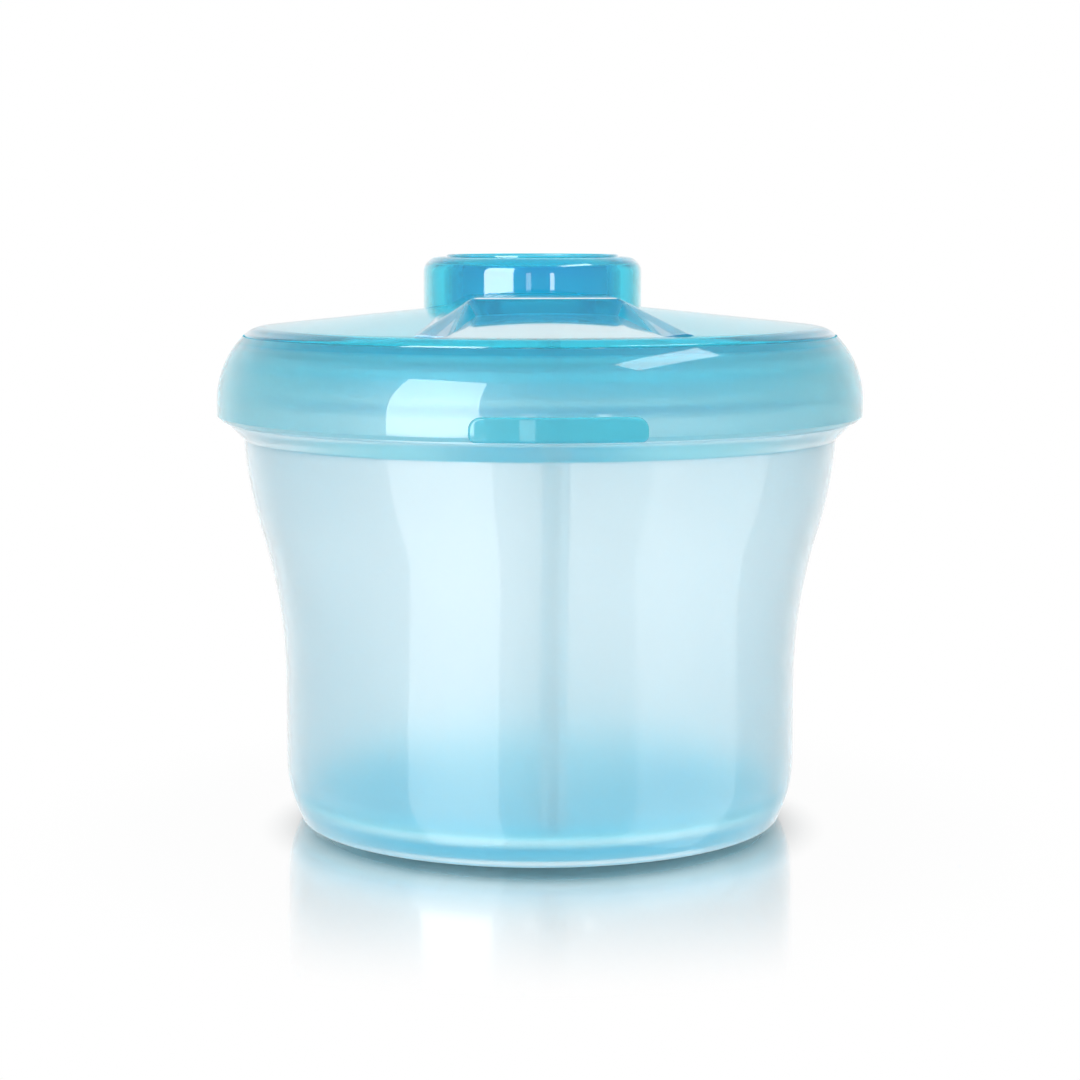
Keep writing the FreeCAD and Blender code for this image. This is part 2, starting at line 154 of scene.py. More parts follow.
def soften(piece, width=edge_round, parts=3, angle=30):
    """Rounds every sharp edge, as a mould does."""
    only(piece)
    bpy.ops.object.modifier_add(type="BEVEL")
    bevel = piece.modifiers[-1]
    bevel.limit_method = "ANGLE"
    bevel.angle_limit = math.radians(angle)
    bevel.width = width
    bevel.segments = parts
    bpy.ops.object.modifier_apply(modifier=bevel.name)


def shape(piece, tool, operation):
    """Joins a tool to a piece, cuts it out, or keeps only what they share."""
    only(piece)
    bpy.ops.object.modifier_add(type="BOOLEAN")
    boolean = piece.modifiers[-1]
    boolean.object = tool
    boolean.operation = operation
    boolean.solver = "EXACT"
    bpy.ops.object.modifier_apply(modifier=boolean.name)
    bpy.data.objects.remove(tool)


def block(name, low, high):
    """A plain block between two corners, to shape or to cut with."""
    bpy.ops.object.select_all(action="DESELECT")
    middle = [(a + b) / 2 for a, b in zip(low, high)]
    bpy.ops.mesh.primitive_cube_add(size=1, location=middle, scale=[b - a for a, b in zip(low, high)])
    piece = bpy.context.object
    piece.name = piece.data.name = name
    bpy.ops.object.transform_apply(location=True, rotation=True, scale=True)
    return piece


def smooth(piece, angle=25):
    """Shades round faces as round, and keeps flat faces flat and crisp edges crisp."""
    only(piece)
    bpy.ops.object.shade_smooth_by_angle(angle=math.radians(angle))
    bpy.ops.object.modifier_add(type="WEIGHTED_NORMAL")
    piece.modifiers[-1].keep_sharp = True
    bpy.ops.object.modifier_apply(modifier=piece.modifiers[-1].name)


foot_radius = waist_radius - base_round + math.sqrt(base_round**2 - base_round_height**2)
foot_inner = foot_radius - foot_width
collar_top_z = rim_z - neck_height
neck_radius = wall_radius(collar_z) - neck_step
neck_inner = neck_radius - cup_wall
base_turn = -math.degrees(math.asin((base_round_height - foot_round) / base_round))
foot_edge = waist_radius - base_round + base_round * math.cos(math.radians(base_turn))
outline = [(0, foot_height), (foot_inner, foot_height), (foot_inner, 0)]
outline += round_corner(foot_edge - foot_round, foot_round, foot_round, -90, 0, 5)[:-1]
outline += round_corner(waist_radius - base_round, base_round_height, base_round, base_turn, 0, 12)
outline += [(wall_radius(z), z) for z in steps(base_round_height, flare_start_z, 6)[1:]]
outline += [(wall_radius(z), z) for z in steps(flare_start_z, collar_z, 32)[1:]]
outline += [(collar_radius, collar_top_z - collar_edge), (collar_radius, collar_top_z)]
outline += [(neck_radius, collar_top_z)]
outline += bead(neck_radius, rim_z - neck_bead_drop, neck_bead)
outline += [(neck_radius, rim_z), (neck_inner, rim_z), (neck_inner, collar_top_z)]
outline += [(wall_radius(z, cup_wall), z) for z in steps(collar_z, flare_start_z, 32)]
outline += [(wall_radius(z, cup_wall), z) for z in steps(flare_start_z, floor_z + inner_corner, 6)[1:-1]]
corner_centre = (waist_radius - cup_wall - inner_corner, floor_z + inner_corner)
outline += round_corner(*corner_centre, inner_corner, 0, -90, 8)
outline += [(0, floor_z)]
cup = turned("cup_body", outline)

vane_angles = (-90, 30, 150)
vane_half = 0.7 * mm
guide_gap = 0.35 * mm
guide_width = 1.2 * mm
guide_radius = 22.0 * mm
guide_length = 9.0 * mm
guide_height = 2.0 * mm
sink = 0.3 * mm


def spun(piece, angle):
    """Turns a piece round the middle of the cup and settles it there."""
    only(piece)
    piece.rotation_euler.z = math.radians(angle)
    bpy.ops.object.transform_apply(location=True, rotation=True, scale=True)
    return piece


for angle in vane_angles:
    for low in (vane_half + guide_gap, -vane_half - guide_gap - guide_width):
        rib = block("rib", (guide_radius, low, floor_z - sink),
                    (guide_radius + guide_length, low + guide_width, floor_z + guide_height))
        soften(rib, edge_round, 2)
        shape(cup, spun(rib, angle), "UNION")
soften(cup)
smooth(cup)


class Wire:
    """One socket of a material. Sums and products of wires add their own Math nodes."""

    def __init__(self, tree, socket=None):
        self.tree, self.socket = tree, socket

    def node(self, kind, settings=None, sockets=None, out=0):
        """Adds a node, sets it up, joins or fills its sockets, and gives one output."""
        made = self.tree.nodes.new("ShaderNode" + kind)
        for key, setting in (settings or {}).items():
            setattr(made, key, setting)
        for key, value in (sockets or {}).items():
            if isinstance(value, Wire):
                self.tree.links.new(value.socket, made.inputs[key])
            else:
                made.inputs[key].default_value = value
        return None if out is None else Wire(self.tree, made.outputs[out])

    def math(self, operation, *values):
        """A Math node on wires and numbers."""
        return self.node("Math", {"operation": operation}, dict(enumerate(values)))

    def __add__(self, other):
        return self.math("ADD", self, other)

    __radd__ = __add__

    def __mul__(self, other):
        return self.math("MULTIPLY", self, other)

    __rmul__ = __mul__

    def __sub__(self, other):
        return self.math("SUBTRACT", self, other)

    def __rsub__(self, other):
        return self.math("SUBTRACT", other, self)

    def between(self, low, high):
        """Fades from 0 at low to 1 at high."""
        return self.node("MapRange", {"interpolation_type": "SMOOTHSTEP"},
                         {"Value": self, "From Min": low, "From Max": high})

    def mix(self, first, second):
        """First colour where this wire is 0, second where it is 1."""
        return self.node("Mix", {"data_type": "RGBA"}, {0: self, 6: first, 7: second}, 2)


def new_finish(name):
    """An empty material, and a wire to build it from."""
    material = bpy.data.materials.new(name)
    material.use_nodes = True
    material.node_tree.nodes.clear()
    return material, Wire(material.node_tree)


def dress(piece, material):
    """Gives the whole piece one finish."""
    piece.data.materials.clear()
    piece.data.materials.append(material)


gloss = 0.035  # roughness of the polished skin on an outside


def clear_plastic(name, tint, stronger_tint, thick, deep_tint, density, outer_roughness, inner_roughness,
                  axis_y=0.0, solidity=1.0, polished_part=None):
    """Translucent moulded plastic: a gloss outside, a fine texture inside, tinted in its depth.

    Thick says where the wall shows more of its colour, from the distance to the piece's axis, the
    height, how far the face points outwards, and how level it is. On the cup it also lays painted
    shade low down. Polished_part adds gloss to a part of a level face. Axis_y is where the piece's
    axis stands. A solidity below 1 leaves the piece partly clear to look through.
    """
    material, wire = new_finish(name)
    place = wire.node("TexCoord", out=3)
    facing = wire.node("TexCoord", out=1)
    from_axis = wire.node("VectorMath", {"operation": "SUBTRACT"}, {0: place, 1: (0, axis_y, 0)})
    across = wire.node("VectorMath", {"operation": "MULTIPLY"}, {0: from_axis, 1: (1, 1, 0)})
    radius = wire.node("VectorMath", {"operation": "LENGTH"}, {0: across}, 1)
    height = wire.node("SeparateXYZ", sockets={"Vector": place}, out=2)
    outward = wire.node("VectorMath", {"operation": "DOT_PRODUCT"}, {0: facing, 1: across}, 1)
    outside = outward.between(-1.0 * mm, 2.0 * mm)
    level = wire.math("ABSOLUTE", wire.node("SeparateXYZ", sockets={"Vector": facing}, out=2))

    # Haze is the uneven flow of the plastic, grain the mould's texture, and smears finger marks.
    haze = wire.node("TexNoise", sockets={"Vector": place, "Scale": 45, "Detail": 3})
    grain = wire.node("TexNoise", sockets={"Vector": place, "Scale": 2600, "Detail": 2})
    smears = wire.node("TexNoise", sockets={"Vector": place, "Scale": 140, "Detail": 4,
                                            "Distortion": 1.5})
    polished = outer_roughness + 0.03 * smears.between(0.45, 0.75)
    textured = inner_roughness + 0.06 * (grain - 0.5) + 0.05 * (haze - 0.5)
    roughness = textured + outside * (polished - textured)
    ripple = wire.node("Bump", sockets={"Strength": 0.12, "Distance": 0.02 * mm, "Height": grain})

    cloudy_tint = [0.985 * part for part in tint[:3]] + [1]
    colour = haze.between(0.3, 0.7).mix(tint, cloudy_tint)
    colour = thick(radius, height, outside, level).mix(colour, stronger_tint)
    coat = outside * (1 - level.between(0.80, 0.95))
    if polished_part:
        coat = wire.math("MAXIMUM", coat, polished_part(place, level))
    body = wire.node("BsdfPrincipled", sockets={
        "Base Color": colour, "Roughness": roughness, "IOR": 1.49, "Alpha": solidity,
        "Normal": ripple, "Transmission Weight": 1, "Coat Weight": coat, "Coat Roughness": gloss,
    })
    depth = wire.node("VolumeAbsorption", sockets={"Color": deep_tint, "Density": density})
    wire.node("OutputMaterial", sockets={"Surface": body, "Volume": depth}, out=None)
    return material


def floor_tint_and_painted_shade(radius, height, outside, level):
    """The cup's floor and the low band of its base outside: a deeper tint, partly for the thicker
    plastic there and partly painted shade for the tinted shadow seen through the base.
    """
    base = height.between(1.5 * mm, 3 * mm) * (1 - height.between(4 * mm, 10 * mm))
    inside = 1 - height.between(floor_z + 0.5 * mm, floor_z + 3 * mm)
    return inside + outside * (0.3 * base - inside)


# The deeper tint low on the cup is partly painted shade, for the tinted shadow seen through the base.
cup_plastic = clear_plastic(
    "pale frosted polypropylene", tint=(0.89, 0.968, 1, 1),
    stronger_tint=(0.13, 0.78, 0.97, 1), thick=floor_tint_and_painted_shade,
    deep_tint=(0.20, 0.84, 0.98, 1), density=20, outer_roughness=0.28, inner_roughness=0.5)
dress(cup, cup_plastic)
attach(cup, "cup")
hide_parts("cup")

# ---- Divider ----
# Three vanes on a thin hub, moulded in one piece of thin frosted polypropylene. Each vane ends
# in a lip that keeps the powder in its own third. It stands loose between the ribs on the cup's
# floor, clear of the lid above it, and lifts out.
vane_gap = 0.6 * mm
hub_radius = 2.6 * mm
lip_half = 2.0 * mm
lip_depth = 1.2 * mm
shell = 1.6 * mm
crown_radius = 10.5 * mm
shoulder_radius = 45.524 * mm
shoulder_z = 81.402 * mm
cone_slope = math.tan(math.radians(6.0))
plug_inner = neck_inner - 1.75 * mm
plug_bottom_z = 72.0 * mm
pad_radius = 9.0 * mm
pad_thickness = 1.8 * mm


def cone_z(radius):
    """Height of the dome's outside at this radius."""
    return shoulder_z + (shoulder_radius - max(radius, crown_radius)) * cone_slope


def vane_edge(z):
    """How far out a vane reaches at a height."""
    return min(wall_radius(z, cup_wall + vane_gap), neck_inner - vane_gap)


vane_top_z = plug_bottom_z - vane_gap
plug_clear = plug_inner - vane_gap
hub_top_z = cone_z(0) - shell - pad_thickness - vane_gap
under_dome = shell + vane_gap
corner_z = floor_z + inner_corner
corner_radius = vane_edge(corner_z) - inner_corner
outline = [(0, floor_z)] + round_corner(corner_radius, corner_z, inner_corner, -90, 0, 8)
outline += [(vane_edge(z), z) for z in steps(corner_z, vane_top_z, 30)[1:]]
outline += [(plug_clear, vane_top_z), (plug_clear, cone_z(plug_clear) - under_dome)]
outline += [(crown_radius, cone_z(0) - under_dome), (pad_radius + vane_gap, cone_z(0) - under_dome)]
outline += [(pad_radius + vane_gap, hub_top_z), (0, hub_top_z)]
divider_space = turned("divider_space", outline, facets=96)
outline = [(0, 0)] + [(vane_edge(z) - lip_depth, z) for z in steps(0, rim_z, 30)] + [(0, rim_z)]
inner_face = turned("inner_face", outline, facets=96)
outline = [(0, 0), (hub_radius, 0), (hub_radius, 2 * rim_z), (0, 2 * rim_z)]
divider = turned("divider_vanes", outline, facets=48)


def copy_of(piece, name):
    """A copy with a mesh of its own."""
    twin = piece.copy()
    twin.data = piece.data.copy()
    twin.name = twin.data.name = name
    bpy.context.scene.collection.objects.link(twin)
    return twin


for angle in vane_angles:
    vane = block("vane", (0, -vane_half, -mm), (neck_radius + mm, vane_half, 2 * rim_z - mm))
    lip = block("edge_lip", (neck_radius / 2, -lip_half, floor_z),
                (neck_radius, lip_half, vane_top_z + mm))
    shape(divider, spun(vane, angle), "UNION")
    shape(lip, copy_of(inner_face, "inner_face_copy"), "DIFFERENCE")
    shape(divider, spun(lip, angle), "UNION")
bpy.data.objects.remove(inner_face)
shape(divider, divider_space, "INTERSECT")
soften(divider, 0.15 * mm, 2)
smooth(divider)


def at_the_lips(radius, height, outside, level):
    """The lips along the cup's wall."""
    return radius.between(waist_radius - 8 * mm, waist_radius - 4 * mm)


divider_plastic = clear_plastic(
    "frosted divider polypropylene", tint=(0.92, 0.98, 1, 1),
    stronger_tint=(0.88, 0.965, 1, 1), thick=at_the_lips,
    deep_tint=(0.20, 0.80, 0.90, 1), density=3, outer_roughness=0.6, inner_roughness=0.6,
    solidity=0.45)
dress(divider, divider_plastic)
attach(divider, "divider")
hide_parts("divider")

# ---- Lid ring ----
# The ring snaps over the cup's neck. It is turquoise translucent polypropylene, moulded in one
# piece: the flared skirt rests on the collar, the clip wall inside it grips the neck, the groove
# above holds the dome, and the thumb tab at the front prises the lid off.
ring_low, ring_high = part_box("lid_ring")
skirt_bottom_z = ring_low.z
skirt_radius = ring_high.x
lip_z = ring_high.z
skirt_round = 15.1 * mm
skirt_round_z = 69.4 * mm
skirt_wall = 1.5 * mm
skirt_bevel = 0.7 * mm
clip_wall = 1.2 * mm
clip_inner = neck_radius + 0.85 * mm
clip_bottom_z = 69.6 * mm
clip_bead = 0.2 * mm
groove_radius = clip_inner + 0.7 * mm
groove_z = 76.3 * mm
groove_top_z = 77.5 * mm
lip_radius = groove_radius - 1.15 * mm
tab_proud = 1.2 * mm
tab_half_angle = 14.1
tab_height = 3.8 * mm
tab_round = 0.8 * mm
tab_low_round = 1.0 * mm
tab_top_round = 1.9 * mm

skirt_centre = skirt_radius - skirt_round
clip_outer = clip_inner + clip_wall
inner_round = skirt_round - skirt_wall
lip_turn = math.degrees(math.acos((lip_radius - skirt_centre) / skirt_round))
clip_turn = math.degrees(math.acos((clip_outer - skirt_centre) / inner_round))
outline = [(skirt_radius - skirt_wall, skirt_bottom_z), (skirt_radius - skirt_bevel, skirt_bottom_z)]
outline += [(skirt_radius, skirt_bottom_z + skirt_bevel), (skirt_radius, skirt_round_z)]
tab_turn = math.degrees(math.asin((skirt_bottom_z + tab_height - skirt_round_z) / skirt_round))
outline += round_corner(skirt_centre, skirt_round_z, skirt_round, tab_turn, lip_turn, 20)
outline += [(lip_radius, groove_top_z), (groove_radius, groove_top_z), (groove_radius, groove_z)]
outline += [(clip_inner, groove_z)]
outline += bead(clip_inner, clip_bottom_z + 1.0 * mm, -clip_bead)[::-1]
outline += [(clip_inner, clip_bottom_z), (clip_outer, clip_bottom_z)]
outline += round_corner(skirt_centre, skirt_round_z, inner_round, clip_turn, 0, 12)
outline += [(skirt_radius - skirt_wall, skirt_bottom_z)]
lid_ring = turned("lid_ring_shell", outline)


def pick(piece, wanted, parts="polygons"):
    """Goes into edit mode with only the wanted faces or edges of a piece selected."""
    only(piece)
    mesh = piece.data
    bpy.ops.object.mode_set(mode="EDIT")
    bpy.ops.mesh.select_mode(type="FACE" if parts == "polygons" else "EDGE")
    bpy.ops.mesh.select_all(action="DESELECT")
    bpy.ops.object.mode_set(mode="OBJECT")
    for part in getattr(mesh, parts):
        corners = [mesh.vertices[index].co for index in part.vertices]
        part.select = wanted(corners)
    bpy.ops.object.mode_set(mode="EDIT")


def round_picked(width, parts):
    """Rounds the picked edges and leaves edit mode."""
    bpy.ops.mesh.bevel(offset=width, segments=parts)
    bpy.ops.object.mode_set(mode="OBJECT")


tab_half_width = (skirt_radius + tab_proud) * math.sin(math.radians(tab_half_angle))
tab_low = skirt_bottom_z + 0.05 * mm
tab_top = skirt_bottom_z + tab_height
tab_root = skirt_radius - 0.6 * skirt_wall
outline = [(tab_root, tab_low - mm), (skirt_radius + tab_proud, tab_low - mm)]
outline += [(skirt_radius + tab_proud, tab_top + mm), (tab_root, tab_top + mm), (tab_root, tab_low - mm)]
tab = turned("thumb_tab", outline)
tab_outline = block("tab_outline", (-tab_half_width, -2 * skirt_radius, tab_low),
                    (tab_half_width, 0, tab_top))


def runs_in(corners, z):
    """Whether an edge of the tab's outline runs inwards at this height."""
    at_height = all(abs(c.z - z) < tolerance for c in corners)
    return at_height and abs(corners[0].x - corners[1].x) < tolerance


for end_z, corner_round in ((tab_low, tab_low_round), (tab_top, tab_top_round)):
    pick(tab_outline, lambda corners: runs_in(corners, end_z), "edges")
    round_picked(corner_round, 6)
shape(tab, tab_outline, "INTERSECT")
soften(tab, tab_round, 5, 50)
shape(lid_ring, tab, "UNION")
soften(lid_ring)
smooth(lid_ring)


def tab_and_lip(radius, height, outside, level):
    """The thumb tab, and the ring's thick upper edge."""
    on_tab = radius.between(skirt_radius + 0.1 * mm, skirt_radius + 0.6 * mm)
    upper = 0.25 * height.between(lip_z - 6 * mm, lip_z - 2 * mm)
    edge = 0.75 * height.between(lip_z - 1.6 * mm, lip_z - 0.9 * mm)
    return on_tab.math("MAXIMUM", on_tab, upper + edge)


ring_plastic = clear_plastic(
    "turquoise polypropylene", tint=(0.80, 0.975, 1, 1),
    stronger_tint=(0.035, 0.62, 0.74, 1), thick=tab_and_lip,
    deep_tint=(0.05, 0.92, 0.99, 1), density=75, outer_roughness=0.5, inner_roughness=0.5)
dress(lid_ring, ring_plastic)
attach(lid_ring, "lid_ring")
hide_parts("lid_ring")

# ---- Lid dome ----
# The shallow dome turns in the ring's groove to bring its spout over each compartment. It is one
# moulding with the pouring spout, the plug ring in the cup's neck, and a raised plinth that holds
# the cap's hinge and runs down to the shoulder in two legs, with a low bare panel between them.
flange_radius = groove_radius - 0.3 * mm
flange_top_z = groove_z + 0.9 * mm
dome_edge = lip_radius - 0.3 * mm
edge_z = skirt_round_z + math.sqrt(skirt_round**2 - (dome_edge - skirt_centre) ** 2)
plug_outer = plug_inner + 1.4 * mm
shoulder_bulge = 0.23 * mm
hinge = frame["joints"][-1]["pos_m"]
hinge_y, hinge_z = hinge[1], hinge[2]
cap_y = 25.0 * mm
cap_top_z = shoulder_z + 10.9 * mm
spout_radius = 15.4 * mm
spout_wall = 1.3 * mm
spout_top_z = cap_top_z - 1.7 * mm


def shoulder_curve(count=6):
    """Points over the dome's rounded edge, from its cone to its side."""
    across = (dome_edge - shoulder_radius, edge_z - shoulder_z)
    length = math.hypot(*across)
    normal = (-across[1] / length, across[0] / length)
    points = []
    for share in steps(0.0, 1.0, count):
        bulge = shoulder_bulge * 4 * share * (1 - share)
        points.append((shoulder_radius + across[0] * share + normal[0] * bulge,
                       shoulder_z + across[1] * share + normal[1] * bulge))
    return points


crown_z = cone_z(0)
outline = [(0, crown_z), (crown_radius, crown_z)]
outline += [(radius, cone_z(radius)) for radius in steps(crown_radius, shoulder_radius, 8)[1:-1]]
outline += shoulder_curve()
outline += [(dome_edge, flange_top_z), (flange_radius, flange_top_z), (flange_radius, groove_z)]
outline += [(plug_outer, groove_z), (plug_outer, plug_bottom_z), (plug_inner, plug_bottom_z)]
outline += [(plug_inner, cone_z(plug_inner) - shell), (crown_radius, crown_z - shell)]
outline += [(pad_radius, crown_z - shell), (pad_radius, crown_z - shell - pad_thickness)]
outline += [(0, crown_z - shell - pad_thickness)]
lid_dome = turned("lid_dome_shell", outline)
soften(lid_dome)


def under_cone(name, lift):
    """Everything below the dome's surface, raised by lift."""
    wide = 2 * dome_edge
    return turned(name, [(0, 0), (wide, 0), (wide, cone_z(wide) + lift), (crown_radius, crown_z + lift),
                         (0, crown_z + lift)])


arm_half = 6.5 * mm
knuckle_radius = 1.5 * mm
pocket_gap = 0.45 * mm
swing_gap = 0.6 * mm
pin_radius = 0.9 * mm
pin_fit = 0.05 * mm
pin_length = 2.6 * mm
plinth_top_z = crown_z + 1.33 * mm
plinth_low_z = shoulder_z - shell
plinth_half = arm_half + 5.0 * mm
plinth_back_y = hinge_y + knuckle_radius + pocket_gap
plinth_front_y = hinge_y - 20.4 * mm
leg_end_y = 4.5 * mm - shoulder_radius
leg_end_half = plinth_half + 8.9 * mm
leg_end_z = shoulder_z + 0.3 * mm
side_run = 2.0  # sideways run of the outer slopes for each step of height
plinth_round = 0.7 * mm

foot_half = plinth_half + side_run * (plinth_top_z - plinth_low_z)
plinth = block("plinth", (-plinth_half, plinth_front_y, plinth_low_z),
               (plinth_half, plinth_back_y, plinth_top_z))


def stretch_across(ratio):
    """Scales what is picked sideways from the middle, and leaves edit mode."""
    bpy.ops.transform.resize(value=(ratio, 1, 1), center_override=(0, 0, 0))
    bpy.ops.object.mode_set(mode="OBJECT")


def low(corners):
    """Faces and edges at the plinth's foot."""
    return all(c.z < plinth_low_z + tolerance for c in corners)


def front(corners):
    """The plinth's front face."""
    return all(c.y < plinth_front_y + tolerance for c in corners)


pick(plinth, low)
stretch_across(foot_half / plinth_half)
# The legs run on past the shoulder, at the same slope, until they are cut off there.
overrun = leg_end_y / 6
leg_run = leg_end_y - plinth_front_y
far_y = leg_end_y + overrun
far_half = leg_end_half + (leg_end_half - plinth_half) * overrun / leg_run
far_z = leg_end_z + (leg_end_z - plinth_top_z) * overrun / leg_run
pick(plinth, front)
bpy.ops.mesh.extrude_region_move(TRANSFORM_OT_translate={"value": (0, far_y - plinth_front_y, 0)})
bpy.ops.object.mode_set(mode="OBJECT")
pick(plinth, lambda corners: all(c.y < far_y + tolerance and not low([c]) for c in corners), "edges")
bpy.ops.transform.translate(value=(0, 0, far_z - plinth_top_z))
stretch_across(far_half / plinth_half)
pick(plinth, lambda corners: all(c.y < far_y + tolerance and low([c]) for c in corners), "edges")
far_foot = far_half + side_run * (far_z - plinth_low_z)
stretch_across(far_foot / foot_half)

panel_y = plinth_front_y - 2.6 * mm
panel_end_y = -2 * shoulder_radius
panel_edge = plinth_half - 0.3 * mm
panel_spread = 6.2 * mm / (panel_y - leg_end_y)
panel_corner = 1.0 * mm
panel_back_slope = 0.9  # how far the panel's walls lean out for each step of height
panel_side_slope = 0.5


def panel_size(z):
    """The panel cutter's near edge at a height, and its half width there and at its far edge."""
    lift = z - cone_z(-panel_y)
    near = panel_y + panel_back_slope * lift
    half = panel_edge + panel_side_slope * lift
    return near, half, half + panel_spread * (near - panel_end_y)


cut_low, cut_high = plinth_low_z - mm, plinth_top_z + shell
low_near_y, low_half, low_far_half = panel_size(cut_low)
high_near_y, high_half, high_far_half = panel_size(cut_high)
panel = block("panel", (-low_half, panel_end_y, cut_low), (low_half, low_near_y, cut_high))


def at_the_end(corners):
    """Edges of the cutter's far face."""
    return all(c.y < panel_end_y + tolerance for c in corners)


def at_the_top(corners):
    """Edges of the cutter's upper face."""
    return all(c.z > cut_low + mm for c in corners)


def at_the_foot(corners):
    """Edges of the cutter's lower face."""
    return all(c.z < cut_low + mm for c in corners)


pick(panel, lambda corners: at_the_end(corners) and at_the_foot(corners), "edges")
stretch_across(low_far_half / low_half)
pick(panel, lambda corners: at_the_end(corners) and at_the_top(corners), "edges")
stretch_across(high_far_half / low_half)
pick(panel, lambda corners: at_the_top(corners) and all(c.y > low_near_y - tolerance for c in corners),
     "edges")
bpy.ops.transform.translate(value=(0, high_near_y - low_near_y, 0))
stretch_across(high_half / low_half)
pick(panel, lambda corners: abs(corners[0].z - corners[1].z) > mm and corners[0].y > panel_y - 10 * mm,
     "edges")
round_picked(panel_corner, 5)
shape(plinth, panel, "DIFFERENCE")


def ridge(corners):
    """Plinth edges that stand clear of the dome, apart from those at its back and its far end."""
    middle = (corners[0] + corners[1]) / 2
    clear = middle.z > cone_z(math.hypot(middle.x, middle.y)) + 0.3 * mm
    return clear and far_y + 0.1 * mm < middle.y < plinth_back_y - 0.1 * mm


pick(plinth, ridge, "edges")
round_picked(plinth_round, 4)
post_radius = shoulder_radius - 0.05 * mm
outline = [(0, 0), (post_radius, 0), (post_radius, 2 * rim_z), (0, 2 * rim_z)]
shoulder_post = turned("shoulder_post", outline)
shape(plinth, shoulder_post, "INTERSECT")
shape(plinth, under_cone("under_cone", -shell / 2), "DIFFERENCE")
shape(lid_dome, plinth, "UNION")

lip_bend = 0.5 * mm
outline = [(0, groove_z), (spout_radius, groove_z)]
outline += round_corner(spout_radius - lip_bend, spout_top_z - lip_bend, lip_bend, 0, 90, 4)
outline += [(0, spout_top_z)]
spout = turned("spout", outline, cap_y)
shape(spout, under_cone("under_cone", -shell / 2), "DIFFERENCE")
shape(lid_dome, spout, "UNION")
bore = spout_radius - spout_wall
outline = [(0, groove_z + mm), (bore, groove_z + mm), (bore, spout_top_z - lip_bend)]
outline += [(bore + 0.35 * mm, spout_top_z + 0.1 * mm), (0, spout_top_z + 0.1 * mm)]
shape(lid_dome, turned("spout_bore", outline, cap_y), "DIFFERENCE")
pocket = knuckle_radius + pocket_gap
side = arm_half + pocket_gap
shape(lid_dome, block("hinge_pocket", (-side, hinge_y - pocket - swing_gap, hinge_z - pocket),
                      (side, plinth_back_y + 0.1 * mm, plinth_top_z + mm)), "DIFFERENCE")


def rod(name, radius, half_length):
    """A round rod along the hinge's axis."""
    bpy.ops.object.select_all(action="DESELECT")
    bpy.ops.mesh.primitive_cylinder_add(vertices=48, radius=radius, depth=2 * half_length,
                                        location=(0, hinge_y, hinge_z), rotation=(0, math.pi / 2, 0))
    piece = bpy.context.object
    piece.name = piece.data.name = name
    bpy.ops.object.transform_apply(location=True, rotation=True, scale=True)
    return piece


shape(lid_dome, rod("pin_bores", pin_radius + pin_fit, side + pin_length), "DIFFERENCE")
smooth(lid_dome, 20)


def lies_flat(level):
    """Fades from 0 on a face that leans to 1 on one that lies flat or nearly flat."""
    return level.between(0.90, 0.97)


def steep(radius, height, outside, level):
    """Upright walls and the raised plinth, which are looked at through their whole depth."""
    cone = shoulder_z + cone_slope * (shoulder_radius - radius)
    raised = (height - cone).between(0.2 * mm, 0.5 * mm)
    return raised.math("MAXIMUM", raised, 1 - lies_flat(level))


def low_panel(place, level):
    """The bare panel between the plinth's legs, polished in the mould."""
    sideways = place.math("ABSOLUTE", place.node("SeparateXYZ", sockets={"Vector": place}, out=0))
    along = place.node("SeparateXYZ", sockets={"Vector": place}, out=1)
    from_edge = sideways + panel_spread * (along - panel_y) - panel_edge
    beside = from_edge.between(-0.2 * mm, 0.3 * mm)
    behind = along.between(panel_y - 0.2 * mm, panel_y + 0.2 * mm)
    return (1 - beside) * (1 - behind) * lies_flat(level)


dome_plastic = clear_plastic(
    "deep turquoise polypropylene", tint=(0.46, 0.93, 1, 1),
    stronger_tint=(0.03, 0.73, 0.88, 1), thick=steep,
    deep_tint=(0.05, 0.96, 0.985, 1), density=200, outer_roughness=0.1, inner_roughness=0.3,
    polished_part=low_panel)
dress(lid_dome, dome_plastic)
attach(lid_dome, "lid_dome")
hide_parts("lid_dome")

# ---- Spout cap ----
# The small cap closes the spout. It is moulded in the dome's plastic with a raised ring on top, a
# plug ring inside, the hinge's arm with two short pins that click into the plinth, and a grip at
# the back that lifts it.
cap_radius = 18.9 * mm
cap_wall = 1.4 * mm
cap_round = 2.5 * mm
cap_gap = 0.4 * mm
ring_radius = 13.5 * mm
ring_width = 1.4 * mm
cap_plug_radius = 12.8 * mm
cap_plug_wall = 1.2 * mm
cap_plug_z = spout_top_z - 1.5 * mm
grip_half = 5.0 * mm
grip_proud = 1.6 * mm
grip_thickness = 1.6 * mm
ring_top_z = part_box("spout_cap")[1].z

ceiling = cap_top_z - cap_wall
outline = [(0, cap_top_z), (ring_radius, cap_top_z), (ring_radius, ring_top_z)]
outline += [(ring_radius + ring_width, ring_top_z), (ring_radius + ring_width, cap_top_z)]
outline += round_corner(cap_radius - cap_round, cap_top_z - cap_round, cap_round, 90, 0, 10)
outline += [(cap_radius, groove_z), (cap_radius - cap_wall, groove_z), (cap_radius - cap_wall, ceiling)]
outline += [(cap_plug_radius, ceiling), (cap_plug_radius, cap_plug_z)]
outline += [(cap_plug_radius - cap_plug_wall, cap_plug_z), (cap_plug_radius - cap_plug_wall, ceiling)]
outline += [(0, ceiling)]
spout_cap = turned("spout_cap_shell", outline, cap_y)
soften(spout_cap, 0.2 * mm)
shape(spout_cap, under_cone("under_cone", cap_gap), "DIFFERENCE")
grip_y = cap_y + cap_radius
grip = block("grip", (-grip_half, grip_y - cap_wall, cap_top_z - cap_round - grip_thickness),
             (grip_half, grip_y + grip_proud, cap_top_z - cap_round))
soften(grip, 0.4 * mm, 4)
shape(spout_cap, grip, "UNION")
arm_z = crown_z + 0.4 * mm
arm_thickness = 1.1 * mm
